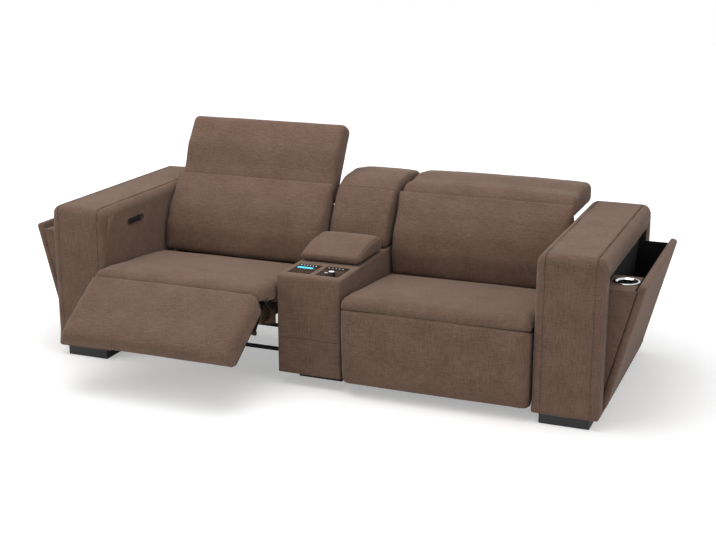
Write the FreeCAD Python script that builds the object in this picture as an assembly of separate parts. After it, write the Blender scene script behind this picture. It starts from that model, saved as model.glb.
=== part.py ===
"""Two-seat motion sofa with a fixed centre console and tilt-out bins in both arms.

Millimetres, X along the sofa, Y towards its back, Z up. Each seat is built closed, for the
right-hand side, then mirrored, and the left one is moved into the half-open pose of the photo.
"""
import FreeCAD
import Part
import math
import os

os.makedirs("parts", exist_ok=True)
V = FreeCAD.Vector

# driving dimensions of the whole sofa
CONSOLE_HALF = 137.0
CONSOLE_TOP = 466.0
SEAT_WIDE = 773.0
SEAT_IN = CONSOLE_HALF + 4.0
SEAT_OUT = SEAT_IN + SEAT_WIDE
SEAT_MID = (SEAT_IN + SEAT_OUT) / 2
ARM_WIDE = 258.0
ARM_IN = SEAT_OUT + 3.0
ARM_OUT = ARM_IN + ARM_WIDE
ARM_DEEP = 984.0
ARM_LOW = 41.0
ARM_TOP = 660.0
ARM_EDGE = 26.0

# tilt-out bins
BIN_TILT = 14.4
BIN_X = ARM_OUT - 25.0
BIN_Z = 62.0

# seat mechanism, home position
ROLL_Y = 8.0
ROLL_Z = 380.0
ROLL_R = 25.0
TUBE_Y = 160.0
TUBE_Z = 312.0
ARM_DY = 45.0
ARM_DZ = -140.0
RECLINE_Y = 640.0
RECLINE_Z = 330.0
HEAD_Y = 740.0
HEAD_Z = 660.0
HEAD_R = 62.0

# pose of the photo
LEG_OUT = 58.0
GLIDE_Y = -100.0
GLIDE_Z = 25.0
LEAN = 9.0
HEAD_UP = 70.0

# running clearance at the pins
RUN = 0.06


def box(x0, x1, y0, y1, z0, z1):
    """Block between the given planes."""
    return Part.makeBox(x1 - x0, y1 - y0, z1 - z0, V(x0, y0, z0))


def rod_x(x0, x1, y, z, r):
    """Round bar along X."""
    return Part.makeCylinder(r, x1 - x0, V(x0, y, z), V(1, 0, 0))


def rod_y(y0, y1, x, z, r):
    """Round bar along Y."""
    return Part.makeCylinder(r, y1 - y0, V(x, y0, z), V(0, 1, 0))


def rod_z(z0, z1, x, y, r):
    """Round bar along Z."""
    return Part.makeCylinder(r, z1 - z0, V(x, y, z0), V(0, 0, 1))


def loop(points, radii):
    """Closed outline of flat points, each corner rounded by its radius."""
    n = len(points)
    edges = []
    starts = []
    for i in range(n):
        p = V(*points[i])
        a = V(*points[i - 1])
        b = V(*points[(i + 1) % n])
        r = radii[i]
        if r <= 0:
            starts.append((p, p, None))
            continue
        u = (a - p).normalize()
        w = (b - p).normalize()
        half = u.getAngle(w) / 2
        t = r / math.tan(half)
        mid = (u + w).normalize()
        c = p + mid * (r / math.sin(half))
        starts.append((p + u * t, p + w * t, c - mid * r))
    for i in range(n):
        first, last, top = starts[i]
        if top is not None:
            edges.append(Part.Arc(first, top, last).toShape())
        nxt = starts[(i + 1) % n][0]
        if (nxt - last).Length > 1e-6:
            edges.append(Part.LineSegment(last, nxt).toShape())
    return Part.Wire(edges)


def side_shape(points, radii, x0, x1):
    """Outline in the (y, z) plane run from x0 to x1."""
    if not isinstance(radii, (list, tuple)):
        radii = [radii] * len(points)
    wire = loop([(x0, y, z) for y, z in points], radii)
    return Part.Face(wire).extrude(V(x1 - x0, 0, 0))


def front_shape(points, radii, y0, y1):
    """Outline in the (x, z) plane run from y0 to y1."""
    if not isinstance(radii, (list, tuple)):
        radii = [radii] * len(points)
    wire = loop([(x, y0, z) for x, z in points], radii)
    return Part.Face(wire).extrude(V(0, y1 - y0, 0))


def segments(path, x0):
    """Wire in the plane x = x0 from lines ("l") and three-point arcs ("a") in (y, z)."""
    edges = []
    here = V(x0, *path[0])
    for step in path[1:]:
        if step[0] == "l":
            there = V(x0, *step[1])
            edges.append(Part.LineSegment(here, there).toShape())
        else:
            there = V(x0, *step[2])
            edges.append(Part.Arc(here, V(x0, *step[1]), there).toShape())
        here = there
    return Part.Wire(edges)


def soften(shape, rims, sizes):
    """Round the given edges by the first radius that the shape allows."""
    for r in sizes:
        try:
            done = shape.makeFillet(r, rims)
        except Part.OCCError:
            continue
        if done.isValid() and len(done.Solids) == 1:
            return done
    print("no rounding", shape.BoundBox, len(rims))
    return shape


def end_edges(body, low):
    """Edges of both end outlines that reach above the height low."""
    rims = []
    for e in body.Edges:
        xs = [v.X for v in e.Vertexes]
        if max(xs) - min(xs) < 1e-6 and max(v.Z for v in e.Vertexes) > low:
            rims.append(e)
    return rims


def polar(cy, cz, r, deg):
    """Point at radius r, the angle counted from +Y towards +Z."""
    a = math.radians(deg)
    return (cy + r * math.cos(a), cz + r * math.sin(a))


def flat_bar(y0, z0, y1, z1, half, x0, x1, ends=None):
    """Round-ended flat bar from one pin to the other, lying between x0 and x1."""
    if ends is None:
        ends = half
    length = math.hypot(y1 - y0, z1 - z0)
    ny = -(z1 - z0) / length * half
    nz = (y1 - y0) / length * half
    plate = side_shape([(y0 + ny, z0 + nz), (y1 + ny, z1 + nz),
                        (y1 - ny, z1 - nz), (y0 - ny, z0 - nz)], 0, x0, x1)
    plate = plate.fuse(rod_x(x0, x1, y0, z0, ends))
    return plate.fuse(rod_x(x0, x1, y1, z1, ends))


def one(shape):
    """Cleaned union."""
    return shape.removeSplitter()


def both(shape):
    """A seat piece repeated on the other flank of the same seat."""
    twin = shape.mirror(V(SEAT_MID, 0, 0), V(1, 0, 0))
    return shape.fuse(twin)


parts = {}


def keep(name, *shapes):
    """Store the solids of one named piece."""
    solids = []
    for s in shapes:
        solids.extend(s.Solids)
    parts.setdefault(name, []).extend(solids)


def flipped(shape):
    """The same piece on the left-hand side."""
    return shape.mirror(V(0, 0, 0), V(1, 0, 0))


def turned(shape, y, z, deg):
    """Turn about an X axis so that what points up goes back and what hangs down goes forward."""
    s = shape.copy()
    s.rotate(V(0, y, z), V(1, 0, 0), -deg)
    return s


def moved(shape, dy, dz):
    """Shift in the (y, z) plane."""
    s = shape.copy()
    s.translate(V(0, dy, dz))
    return s


# arms: a board carcass with a pocket for the bin, inside an upholstered cover
POCKET_Y0 = 73.0
POCKET_Y1 = 856.0
POCKET_Z0 = 58.0
POCKET_Z1 = 578.0
PANEL_Z = 570.5
PANEL_Y = 247.5


def oval(x0, x1, length, height):
    """Long rounded plug along X for the control panel."""
    y0 = PANEL_Y - length / 2
    y1 = PANEL_Y + length / 2
    z0 = PANEL_Z - height / 2
    z1 = PANEL_Z + height / 2
    r = height / 2 - 0.01
    return side_shape([(y0, z0), (y1, z0), (y1, z1), (y0, z1)], r, x0, x1)


cover = side_shape([(0, ARM_LOW), (ARM_DEEP, ARM_LOW), (ARM_DEEP, ARM_TOP), (0, ARM_TOP)],
                   [0, 0, 30, 38], ARM_IN, ARM_OUT)
rims = []
for e in cover.Edges:
    xs = [v.X for v in e.Vertexes]
    if max(xs) - min(xs) < 1e-6 and max(v.Z for v in e.Vertexes) > ARM_LOW + 1:
        rims.append(e)
cover = soften(cover, rims, (ARM_EDGE, 20.0, 12.0))
cover = cover.cut(side_shape([(15, 30), (ARM_DEEP - 15, 30), (ARM_DEEP - 15, ARM_TOP - 15), (15, ARM_TOP - 15)],
                             [0, 0, 18, 26], ARM_IN + 15, ARM_OUT - 15))
cover = cover.cut(box(BIN_X, ARM_OUT + 25, POCKET_Y0, POCKET_Y1, POCKET_Z0, POCKET_Z1))
cover = cover.cut(oval(ARM_IN - 7, ARM_IN + 23, 118.6, 22.6))
keep("right_arm_cover", cover)
keep("left_arm_cover", flipped(cover))

frame = side_shape([(15.3, 41), (ARM_DEEP - 15.3, 41), (ARM_DEEP - 15.3, ARM_TOP - 15.3), (15.3, ARM_TOP - 15.3)],
                   [0, 0, 18, 26], ARM_IN + 15.3, ARM_OUT - 15.3)
frame = frame.cut(box(ARM_OUT - 170, BIN_X, POCKET_Y0, POCKET_Y1, POCKET_Z0, 600))
frame = frame.cut(box(ARM_OUT - 35, ARM_OUT - 5, POCKET_Y0, POCKET_Y1, POCKET_Z0, POCKET_Z1))
frame = frame.cut(box(ARM_IN + 33, ARM_IN + 73, 34, 950, 60, 626))
frame = frame.cut(oval(ARM_IN + 3, ARM_IN + 43, 118.6, 22.6))
keep("arm_frames", frame, flipped(frame))

foot = box(ARM_IN + 29, ARM_OUT - 36, 16, 206, 0, 41)
foot = foot.makeFillet(5.0, [e for e in foot.Edges if abs(e.Vertexes[0].Z - e.Vertexes[-1].Z) > 30])
back_foot = moved(foot, 742, 0)
for f in (foot, back_foot):
    keep("block_feet", f, flipped(f))
for y in (140, 800):
    keep("block_feet", box(-95, 95, y, y + 70, 0, 52))

# control panels: chrome rim with a plate, four sprung buttons and a round charging socket
rim = oval(ARM_IN - 3, ARM_IN, 130, 33).fuse(oval(ARM_IN, ARM_IN + 23, 118, 22))
rim = one(rim)
rim = rim.cut(oval(ARM_IN - 4, ARM_IN - 2.2, 122, 25))
rim = rim.cut(rod_x(ARM_IN - 5, ARM_IN + 15, 298, PANEL_Z, 7.5))
rim = rim.fuse(box(ARM_IN + 3, ARM_IN + 16, 294, 302, PANEL_Z - 1, PANEL_Z + 1))
BUTTON_Y = (205.0, 228.0, 251.0, 274.0)
for y in BUTTON_Y:
    rim = rim.cut(rod_x(ARM_IN - 5, ARM_IN + 7, y, PANEL_Z, 7.6))
rim = one(rim)
keep("control_panels", rim, flipped(rim))
for i, y in enumerate(BUTTON_Y, 1):
    button = rod_x(ARM_IN - 3.6, ARM_IN + 4.0, y, PANEL_Z, 7.5)
    rims = [e for e in button.Edges if e.Vertexes[0].X < ARM_IN - 3 and len(e.Vertexes) == 1]
    button = button.makeFillet(0.8, rims)
    keep("right_button_%d" % i, button)
    keep("left_button_%d" % i, flipped(button))


def opened(shape):
    """From the closed bin to the open bin of the photo."""
    s = shape.copy()
    s.rotate(V(BIN_X, 0, BIN_Z), V(0, 1, 0), BIN_TILT)
    return s


panel = side_shape([(76, 68), (850, 68), (850, 576), (76, 576)], [10, 34, 24, 10], BIN_X + 3, BIN_X + 33)
panel = soften(panel, [e for e in panel.Edges if min(v.X for v in e.Vertexes) > BIN_X + 32.9], (9.0, 6.0))
keep("right_bin_panel", opened(panel))
keep("left_bin_panel", flipped(opened(panel)))

CUP_X = BIN_X + 69.5
CUP_Y = 190.0
wedge = [(BIN_X - 56, 95), (BIN_X + 2.7, 95), (BIN_X + 2.7, 548.3), (BIN_X - 121.4, 516.5)]
room = [(BIN_X - 50, 101), (BIN_X - 3, 101), (BIN_X - 3, 560), (BIN_X - 123.8, 560), (BIN_X - 115.1, 514)]
bin_box = front_shape(wedge, 0, 86, 849)
bin_box = bin_box.cut(front_shape(room, 0, 92, 276))
bin_box = bin_box.cut(front_shape(room, 0, 282, 843))
bin_box = opened(bin_box).cut(box(BIN_X - 150, BIN_X + 250, 0, 1000, 530.4, 700))
stop_tab = box(BIN_X - 9, BIN_X - 3, 780, 820, 505, 586)
bin_box = bin_box.cut(rod_z(462, 545, CUP_X - 1.5, CUP_Y, 38.2))
bin_box = one(bin_box.fuse(stop_tab))
keep("right_bin_box", bin_box)
keep("left_bin_box", flipped(bin_box))

shelf = box(BIN_X + 3.2, BIN_X + 114, 92.3, 275.7, 519, 533)
facing = opened(front_shape(wedge, 0, 77, 85.7))
shelf = one(shelf.fuse(facing).fuse(box(BIN_X + 3.2, BIN_X + 114, 80, 96, 530.8, 533)))
shelf = shelf.cut(rod_z(500, 540, CUP_X - 1.5, CUP_Y, 38.0))
keep("right_bin_shelf", shelf)
keep("left_bin_shelf", flipped(shelf))

cup = rod_z(470, 539, CUP_X - 1.5, CUP_Y, 37.6)
lip = rod_z(533.2, 539, CUP_X - 1.5, CUP_Y, 49)
lip = lip.makeFillet(2.6, [e for e in lip.Edges if e.Vertexes[0].Z > 538])
cup = one(cup.fuse(lip))
cup = cup.cut(rod_z(473, 545, CUP_X - 1.5, CUP_Y, 35.0))
cone = Part.makeCone(35.0, 42.0, 5.4, V(CUP_X - 1.5, CUP_Y, 533.8), V(0, 0, 1))
cup = cup.cut(cone)
keep("right_cup_holder", cup)
keep("left_cup_holder", flipped(cup))

# piano hinge of the bin: fixed leaf with pin, moving leaf with knuckles between the fixed ones
pitch = (840.0 - 90.0) / 9
fixed = box(BIN_X - 40, BIN_X - 4, 90, 840, 58, 59.2)
moving = box(BIN_X + 1.3, BIN_X + 2.7, 90, 840, 66.2, 92)
pin = rod_y(90, 840, BIN_X, BIN_Z, 2.0)
for k in range(9):
    y0 = 90 + k * pitch + 0.4
    y1 = 90 + (k + 1) * pitch - 0.4
    knuckle = rod_y(y0, y1, BIN_X, BIN_Z, 3.2)
    if k % 2 == 0:
        fixed = fixed.fuse(knuckle).fuse(box(BIN_X - 5, BIN_X, y0, y1, 58, 59.6))
    else:
        knuckle = knuckle.fuse(box(BIN_X + 1.3, BIN_X + 2.7, y0, y1, BIN_Z, 67))
        moving = moving.fuse(knuckle)
fixed = one(fixed.fuse(pin))
moving = one(moving.cut(rod_y(60, 870, BIN_X, BIN_Z, 2.0 + RUN)))
keep("bin_hinge_mounts", fixed, flipped(fixed))
keep("right_bin_hinge", opened(moving))
keep("left_bin_hinge", flipped(opened(moving)))

# console: carcass, cover, lid on two knuckles, screen, charging pad and back cushion
STORE = (-112.0, 112.0, 255.0, 484.0, 250.0)
carcass = box(-126.7, 126.7, 34.3, 959.7, 52, 455.7)
carcass = carcass.cut(box(STORE[0], STORE[1], STORE[2], STORE[3], STORE[4], 470))
carcass = carcass.cut(box(-108, 108, 54, 940, 72, 232))
console_cover = side_shape([(24, 52), (970, 52), (970, 466), (24, 466)], [0, 0, 16, 14],
                           -CONSOLE_HALF, CONSOLE_HALF)
rims = []
for e in console_cover.Edges:
    xs = [v.X for v in e.Vertexes]
    if max(xs) - min(xs) < 1e-6 and max(v.Z for v in e.Vertexes) > 460:
        rims.append(e)
console_cover = soften(console_cover, rims, (9.0, 6.0))
console_cover = console_cover.cut(box(-127, 127, 34, 960, 40, 456))
console_cover = console_cover.cut(box(STORE[0], STORE[1], STORE[2], STORE[3], 440, 480))
SCREEN = (-107.0, -11.0, 66.0, 191.0)
CHARGE = (14.0, 110.0, 64.0, 192.0)
for px0, px1, py0, py1 in (SCREEN, CHARGE):
    pocket = box(px0 - 0.3, px1 + 0.3, py0 - 0.3, py1 + 0.3, 448, 480)
    console_cover = console_cover.cut(pocket)
    carcass = carcass.cut(pocket)
LID_Y = 508.0
LID_Z = 462.0
for x in (-65.0, 65.0):
    notch = box(x - 9, x + 9, 484, 524, 446, 480)
    console_cover = console_cover.cut(notch)
    carcass = carcass.cut(box(x - 9, x + 9, 484, 524, 446, 480))
carcass = one(carcass)
console_cover = one(console_cover)
lid_board = box(-118, 118, 247, 499, 471, 480)
for x in (-65.0, 65.0):
    console_cover = console_cover.fuse(rod_x(x - 9.5, x + 9.5, LID_Y, LID_Z, 3.0))
    tab = rod_x(x - 6, x + 6, LID_Y, LID_Z, 7.0)
    tab = tab.fuse(side_shape([(490, 473), (490, 466), (503, 456.5), (514.5, 464), (499, 476)], 0, x - 6, x + 6))
    lid_board = lid_board.fuse(tab)
lid_board = lid_board.cut(rod_x(-80, 80, LID_Y, LID_Z, 3.0 + RUN))
lid_board = one(lid_board)
keep("console_box", carcass)
keep("console_cover", one(console_cover))
keep("console_lid_board", lid_board)
lid = side_shape([(237, 470.4), (237, 498), (330, 528), (450, 541), (505, 538.5), (505, 470.4)],
                 [8, 12, 250, 100, 34, 8], -CONSOLE_HALF, CONSOLE_HALF)
lid = soften(lid, end_edges(lid, 0.0), (7.5, 6.0, 4.0))
lid = lid.cut(box(-118.3, 118.3, 246.7, 499.3, 465, 480.3))
for x in (-65.0, 65.0):
    lid = lid.cut(box(x - 8, x + 8, 480, 520, 440, 480.3))
keep("console_lid_pad", one(lid))
keep("touch_screen", box(SCREEN[0], SCREEN[1], SCREEN[2], SCREEN[3], 448.3, 468))
keep("charging_pad", box(CHARGE[0], CHARGE[1], CHARGE[2], CHARGE[3], 448.3, 468))
hump = side_shape([(536, 466.3), (534, 500), (566, 578), (612, 655), (655, 710), (720, 736), (850, 747),
                   (998, 727), (978, 466.3)], [0, 60, 200, 200, 120, 160, 300, 26, 0],
                  -CONSOLE_HALF, CONSOLE_HALF)
keep("console_back", soften(hump, end_edges(hump, 467.0), (12.0, 9.0, 6.0)))

# welded base of each seat: two cross tubes, posts and two sloping rails
SLOPE = math.atan2(GLIDE_Z, -GLIDE_Y)


def rail_z(y):
    """Height of the middle of the sloping rail at y."""
    return 190.0 - (y - 350.0) * 0.25


base = rod_x(CONSOLE_HALF, ARM_IN, 270, 55, 9).fuse(rod_x(CONSOLE_HALF, ARM_IN, 560, 55, 9))
c = math.cos(SLOPE)
rail = side_shape([(150, rail_z(150) - 12 / c), (600, rail_z(600) - 12 / c),
                   (600, rail_z(600) + 12 / c), (150, rail_z(150) + 12 / c)], 4, SEAT_IN + 35, SEAT_IN + 41)
for y in (270, 560):
    rail = rail.fuse(box(SEAT_IN + 29, SEAT_IN + 35, y - 12, y + 12, 50, rail_z(y) + 8))
base = one(base.fuse(both(rail)))
keep("seat_bases", base, flipped(base))


def build_seat(side, place):
    """All the pieces of one seat; place(kind, shape) moves each into its pose of the photo."""

    def put(name, kind, *shapes):
        """Pose, mirror where needed, and store."""
        for s in shapes:
            posed = place(kind, s)
            if side == "left":
                posed = flipped(posed)
            keep(side + "_" + name, posed)

    foot_y = ROLL_Y + ARM_DY
    foot_z = ROLL_Z + ARM_DZ
    crank_y = TUBE_Y + ARM_DY
    crank_z = TUBE_Z + ARM_DZ

    # wooden seat box with the covered front rail
    seat_box = box(SEAT_IN + 81, SEAT_OUT - 81, 150, 580, 211, 297)
    seat_box = seat_box.cut(box(SEAT_IN + 99, SEAT_OUT - 99, 254, 562, 180, 300))
    seat_box = seat_box.cut(box(SEAT_IN + 99, SEAT_OUT - 99, 100, 236, 180, 300))
    seat_box = seat_box.fuse(box(SEAT_IN + 81, SEAT_OUT - 81, 236, 254, 185, 297))
    seat_box = seat_box.cut(box(SEAT_MID - 21.5, SEAT_MID + 21.5, 230, 260, 180, 241))
    put("seat_frame", "seat", one(seat_box))
    springs = []
    for i in range(7):
        x = SEAT_IN + 144 + i * (SEAT_WIDE - 288) / 6
        springs.append(rod_y(254, 562, x, 286, 2.2))
    put("seat_springs", "seat", *springs)

    # steel side plates with roll pin, tube bearing, recline pin and sliding shoes
    plate = side_shape([(0, 372), (6, 391), (128, 391), (176, 348), (176, 293), (592, 293), (610, 346),
                        (656, 346), (656, 319), (584, 248), (582, 125), (540, 130), (530, 232),
                        (356, 236), (352, 178), (308, 184), (300, 250), (172, 270), (112, 326),
                        (74, 361)], [5] + [0] * 19, SEAT_IN + 47, SEAT_IN + 53)
    plate = plate.fuse(rod_x(SEAT_IN + 47, SEAT_IN + 53, ROLL_Y, ROLL_Z, 11))
    plate = plate.fuse(rod_x(SEAT_IN + 47, SEAT_IN + 53, RECLINE_Y, RECLINE_Z, 18))
    plate = plate.cut(rod_x(SEAT_IN + 39, SEAT_IN + 59, TUBE_Y, TUBE_Z, 10 + RUN))
    plate = plate.fuse(rod_x(SEAT_IN + 49, SEAT_IN + 62, ROLL_Y, ROLL_Z, 5))
    plate = plate.fuse(rod_x(SEAT_IN + 49, SEAT_IN + 66, RECLINE_Y, RECLINE_Z, 8))
    for y in (330, 560):
        z = rail_z(y)
        shoe = box(SEAT_IN + 35.6, SEAT_IN + 47, y - 20, y + 20, z - 19, z + 19)
        shoe = shoe.cut(box(SEAT_IN + 29, SEAT_IN + 41.8, y - 30, y + 30, z - 12.6, z + 12.6))
        shoe.rotate(V(0, y, z), V(1, 0, 0), -math.degrees(SLOPE))
        plate = plate.fuse(shoe)
    plate = plate.fuse(box(SEAT_IN + 53, SEAT_IN + 81, 270, 320, 262, 284))
    plate = plate.fuse(box(SEAT_IN + 53, SEAT_IN + 81, 520, 560, 262, 284))
    put("side_plates", "seat", both(one(plate)))

    # seat cushion: front roll about the footrest axis, crowned top
    path = [(ROLL_Y, ROLL_Z - ROLL_R), ("a", (ROLL_Y - ROLL_R, ROLL_Z), (ROLL_Y, ROLL_Z + ROLL_R)),
            ("a", (117, 401), (225, 393)), ("l", (336, 384)), ("a", (453, 371), (548, 354)),
            ("a", (561, 349), (566, 338)), ("l", (566, 297.3)), ("l", (190, 297.3)),
            ("l", (190, 333)), ("l", (77, 333)), ("l", (77, 355)), ("l", (ROLL_Y, ROLL_Z - ROLL_R))]
    seat = Part.Face(segments(path, SEAT_IN)).extrude(V(SEAT_OUT - SEAT_IN, 0, 0))
    rims = []
    for e in seat.Edges:
        xs = [v.X for v in e.Vertexes]
        zs = [v.Z for v in e.Vertexes]
        if max(xs) - min(xs) < 1e-6 and min(zs) > 336 and max(zs) > 356:
            rims.append(e)
    seat = soften(seat, rims, (9.0, 6.0, 4.0))
    slot = box(SEAT_IN + 45, SEAT_IN + 62.8, -9, 181, 320, 394)
    slot = slot.fuse(box(SEAT_IN + 53.6, SEAT_IN + 62.8, -30, 0, 340, 383.5))
    seat = seat.cut(both(slot))
    put("seat_cushion", "seat", one(seat))

    # drive: gearbox and motor behind the front rail, a track, and a nut with an upright slot
    motor = box(SEAT_MID - 27.5, SEAT_MID + 27.5, 254, 304, 190, 240)
    motor = motor.fuse(rod_y(304, 392, SEAT_MID, 213, 23))
    motor = motor.fuse(box(SEAT_MID - 7.5, SEAT_MID + 7.5, 78, 256, 205, 217))
    put("drive_motor", "seat", one(motor))
    nut_y = TUBE_Y + 80 * math.sin(math.radians(45))
    nut = box(SEAT_MID - 13.5, SEAT_MID + 13.5, nut_y - 17, nut_y + 17, 198, 221)
    nut = nut.fuse(box(SEAT_MID - 6.5, SEAT_MID + 6.5, nut_y - 17, nut_y + 17, 220, 271))
    nut = nut.cut(box(SEAT_MID - 7.56, SEAT_MID + 7.56, nut_y - 30, nut_y + 30, 204.94, 217.06))
    nut = nut.cut(box(SEAT_MID - 17.5, SEAT_MID + 17.5, nut_y - 8, nut_y + 8, 225, 263))
    put("drive_nut", "nut", one(nut))

    # drive tube with its two outer cranks and the fork in the middle
    tube = rod_x(SEAT_IN + 45.6, SEAT_OUT - 45.6, TUBE_Y, TUBE_Z, 10)
    tube = tube.cut(rod_x(SEAT_IN + 39, SEAT_OUT - 39, TUBE_Y, TUBE_Z, 7.5))
    crank = flat_bar(TUBE_Y, TUBE_Z, crank_y, crank_z, 9, SEAT_IN + 70, SEAT_IN + 75)
    crank = crank.cut(rod_x(SEAT_IN + 59, SEAT_IN + 89, TUBE_Y, TUBE_Z, 8.5))
    crank = crank.fuse(rod_x(SEAT_IN + 62.4, SEAT_IN + 71, crank_y, crank_z, 4))
    tube = tube.fuse(both(crank))
    pin_y, pin_z = polar(TUBE_Y, TUBE_Z, 80, -45)
    for x in (SEAT_MID - 15.5, SEAT_MID + 10.5):
        fork = flat_bar(TUBE_Y, TUBE_Z, pin_y, pin_z, 9, x, x + 5)
        tube = tube.fuse(fork.cut(rod_x(SEAT_MID - 30, SEAT_MID + 30, TUBE_Y, TUBE_Z, 8.5)))
    tube = tube.fuse(rod_x(SEAT_MID - 14.5, SEAT_MID + 14.5, pin_y, pin_z, 5))
    put("drive_tube", "tube", one(tube))

    link = flat_bar(crank_y, crank_z, foot_y, foot_z, 8.5, SEAT_IN + 63, SEAT_IN + 68)
    link = link.cut(rod_x(SEAT_IN + 59, SEAT_IN + 74, crank_y, crank_z, 4 + RUN))
    link = link.cut(rod_x(SEAT_IN + 59, SEAT_IN + 74, foot_y, foot_z, 4 + RUN))
    put("push_links", "link", both(link))

    # footrest: board with two hinge arms, and the padded face over it
    board = box(SEAT_IN + 9, SEAT_OUT - 9, 58, 69.7, 76, 344)
    board = board.cut(both(box(SEAT_IN + 53, SEAT_IN + 69.8, 50, 75, 211, 350)))
    arm = flat_bar(ROLL_Y, ROLL_Z, foot_y, foot_z, 8, SEAT_IN + 55, SEAT_IN + 61, 9)
    arm = arm.fuse(side_shape([(foot_y - 6, foot_z + 6), (69.7, 246), (69.7, 150), (58, 150),
                               (foot_y - 6, foot_z - 4)], 0, SEAT_IN + 55, SEAT_IN + 61))
    arm = arm.cut(rod_x(SEAT_IN + 49, SEAT_IN + 69, ROLL_Y, ROLL_Z, 5 + RUN))
    arm = arm.fuse(rod_x(SEAT_IN + 60, SEAT_IN + 69, foot_y, foot_z, 4))
    board = board.fuse(both(arm))
    put("footrest_frame", "leg", one(board))
    pad = side_shape([(-17.3, 371.3), (-6.2, 354), (9, 353.7), (66, 352), (70, 346), (70, 60), (30, 41.5),
                      (-2, 56), (-12, 108), (-20.3, 240)], [0, 0, 0, 0, 0, 14, 24, 20, 100, 300],
                     SEAT_IN, SEAT_OUT)
    rims = []
    for e in end_edges(pad, 0.0):
        if min(v.Z for v in e.Vertexes) < 340 and min(v.Y for v in e.Vertexes) < 69.5:
            rims.append(e)
    pad = soften(pad, rims, (7.5, 6.0, 4.0))
    pad = pad.cut(box(SEAT_IN + 8.7, SEAT_OUT - 8.7, 57.7, 80, 75.7, 344.3))
    slot = box(SEAT_IN + 53.2, SEAT_IN + 70, 3, 80, 211, 356)
    slot = slot.fuse(box(SEAT_IN + 53.2, SEAT_IN + 62.8, 3, 80, 140, 215))
    pad = pad.cut(both(slot))
    put("footrest_pad", "leg", one(pad))

    # back: board with recline brackets and headrest ears, and the cushion in front of it
    board = side_shape([(657, 300), (676, 296), (744, 586), (725, 592)], 0, SEAT_IN + 9, SEAT_OUT - 9)
    bracket = side_shape([(RECLINE_Y - 14, RECLINE_Z - 6), (RECLINE_Y + 30, RECLINE_Z - 16),
                          (RECLINE_Y + 34, RECLINE_Z + 70), (RECLINE_Y + 16, RECLINE_Z + 60),
                          (RECLINE_Y - 14, RECLINE_Z + 10)], 0, SEAT_IN + 56, SEAT_IN + 64)
    bracket = bracket.fuse(rod_x(SEAT_IN + 56, SEAT_IN + 64, RECLINE_Y, RECLINE_Z, 15))
    bracket = bracket.cut(rod_x(SEAT_IN + 49, SEAT_IN + 69, RECLINE_Y, RECLINE_Z, 8 + RUN))
    ear = flat_bar(736, 570, HEAD_Y, HEAD_Z, 9, SEAT_IN + 99, SEAT_IN + 105)
    ear = ear.fuse(rod_x(SEAT_IN + 104, SEAT_IN + 115, HEAD_Y, HEAD_Z, 5))
    board = board.fuse(both(bracket)).fuse(both(ear))
    put("back_frame", "back", one(board))
    swing = HEAD_R + 1.6
    back = side_shape([(724, 590), (667.3, 346), (566, 346), (560, 452), (575, 545), (640, 657), (663, 693),
                       (690, 693), (722.4, 599)], [0, 0, 18, 160, 200, 160, 14, 0, 0], SEAT_IN, SEAT_OUT)
    rims = []
    for e in end_edges(back, 0.0):
        if max(v.Y for v in e.Vertexes) < 668 and min(v.Y for v in e.Vertexes) < 650:
            rims.append(e)
    back = soften(back, rims, (12.0, 9.0, 6.0))
    back = back.cut(rod_x(SEAT_IN - 5, SEAT_OUT + 5, HEAD_Y, HEAD_Z, swing))
    back = back.cut(both(box(SEAT_IN + 46.4, SEAT_IN + 66.6, 600, 700, 335, 372)))
    back = back.cut(both(box(195, 207, 600, 700, 335, 412)))
    put("back_cushion", "back", one(back))

    # headrest, built folded back: a roll about its hinge and a slab behind it
    outline = [(-62, -27), (-62, 62), (60, 62), (150, 76), (300, 60), (300, -27)]
    head = side_shape([(HEAD_Y + y, HEAD_Z + z) for y, z in outline], [20, 61.9, 150, 200, 36, 28],
                      SEAT_IN + 9, SEAT_OUT - 9)
    rims = []
    for e in head.Edges:
        xs = [v.X for v in e.Vertexes]
        if max(xs) - min(xs) < 1e-6:
            rims.append(e)
    head = soften(head, rims, (12.0, 8.0, 5.0))
    head = head.cut(box(SEAT_IN + 38.7, SEAT_OUT - 38.7, HEAD_Y + 24.7, HEAD_Y + 270.3,
                        HEAD_Z - 8.3, HEAD_Z + 4.3))
    slot = box(SEAT_IN + 96, SEAT_IN + 115.6, HEAD_Y - 70, HEAD_Y + 26, HEAD_Z - 70, HEAD_Z + 12)
    head = head.cut(both(slot))
    put("headrest_cushion", "head", one(head))
    board = box(SEAT_IN + 39, SEAT_OUT - 39, HEAD_Y + 25, HEAD_Y + 270, HEAD_Z - 8, HEAD_Z + 4)
    arm = box(SEAT_IN + 107, SEAT_IN + 114, HEAD_Y, HEAD_Y + 30, HEAD_Z - 8, HEAD_Z + 4)
    arm = arm.fuse(rod_x(SEAT_IN + 107, SEAT_IN + 114, HEAD_Y, HEAD_Z, 9))
    arm = arm.cut(rod_x(SEAT_IN + 99, SEAT_IN + 119, HEAD_Y, HEAD_Z, 5 + RUN))
    put("headrest_frame", "head", one(board.fuse(both(arm))))


def closed_pose(kind, s):
    """The right-hand seat stays as built."""
    return s


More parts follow.
